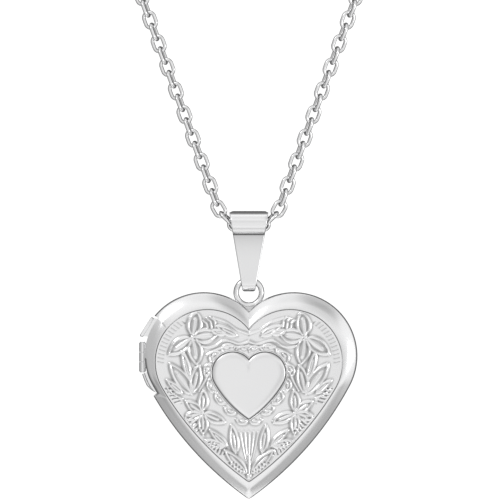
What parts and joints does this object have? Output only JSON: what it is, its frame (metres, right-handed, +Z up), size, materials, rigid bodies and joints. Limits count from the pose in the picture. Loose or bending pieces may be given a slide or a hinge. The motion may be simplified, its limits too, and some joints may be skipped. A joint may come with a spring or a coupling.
{
  "type": "locket",
  "caption": "Hinged heart locket with an embossed front cover, photo frames inside, a tapered bail and a cable chain that ends in a lobster clasp and ring.",
  "frame": {"origin": "midway between the chain's two ends, where a neck holds them", "axes": "+Z up, front of the locket towards -Y, hinge towards -X"},
  "size_m": [0.0364, 0.0051, 0.0786],
  "materials": {
    "polished_silver": "mirror polished, fine scratches",
    "inner_silver": "satin",
    "frame_silver": "polished",
    "chain_silver": "polished wire",
    "spring_steel": "drawn wire",
    "clear_window": "clear plastic sheet"
  },
  "bodies": {
    "necklace": {"chain_centre_link": "chain_silver", "chain_left": "chain_silver", "chain_right": "chain_silver", "clasp_jump_ring": "chain_silver", "clasp_body": "polished_silver", "clasp_rivet": "inner_silver", "clasp_spring": "spring_steel", "end_ring": "chain_silver"},
    "lever": {"clasp_lever": "polished_silver"},
    "hanger": {"bail": "polished_silver"},
    "locket_back": {"back_cover": "polished_silver", "closing_rim": "inner_silver", "catch_bead": "inner_silver", "back_photo_frame": "frame_silver", "back_window": "clear_window", "top_loop": "polished_silver", "hinge_leaf_upper": "polished_silver", "hinge_leaf_lower": "polished_silver", "hinge_knuckle_upper": "polished_silver", "hinge_knuckle_lower": "polished_silver", "hinge_pin": "inner_silver"},
    "locket_front": {"front_cover": "polished_silver", "front_photo_frame": "frame_silver", "front_window": "clear_window", "hinge_knuckle_middle": "polished_silver"}
  },
  "joints": [
    {"name": "bail_swing", "type": "hinge", "parent": "necklace", "child": "hanger", "pos_m": [0, 0, -0.03233], "axis": [1, 0, 0], "range_deg": [-60, 60]},
    {"name": "locket_swing", "type": "hinge", "parent": "hanger", "child": "locket_back", "pos_m": [0, 0, -0.03998], "axis": [1, 0, 0], "range_deg": [-70, 70]},
    {"name": "cover_hinge", "type": "hinge", "parent": "locket_back", "child": "locket_front", "pos_m": [-0.0142, -0.00042, -0.05], "axis": [0, 0, -1], "range_deg": [0, 170]},
    {"name": "lever_pivot", "type": "hinge", "parent": "necklace", "child": "lever", "pos_m": [-0.01537, 0, 0.00518], "axis": [0, -1, 0], "range_deg": [0, 28], "stiffness_Nm_per_rad": 0.002, "springref_deg": -11.46}
  ]
}
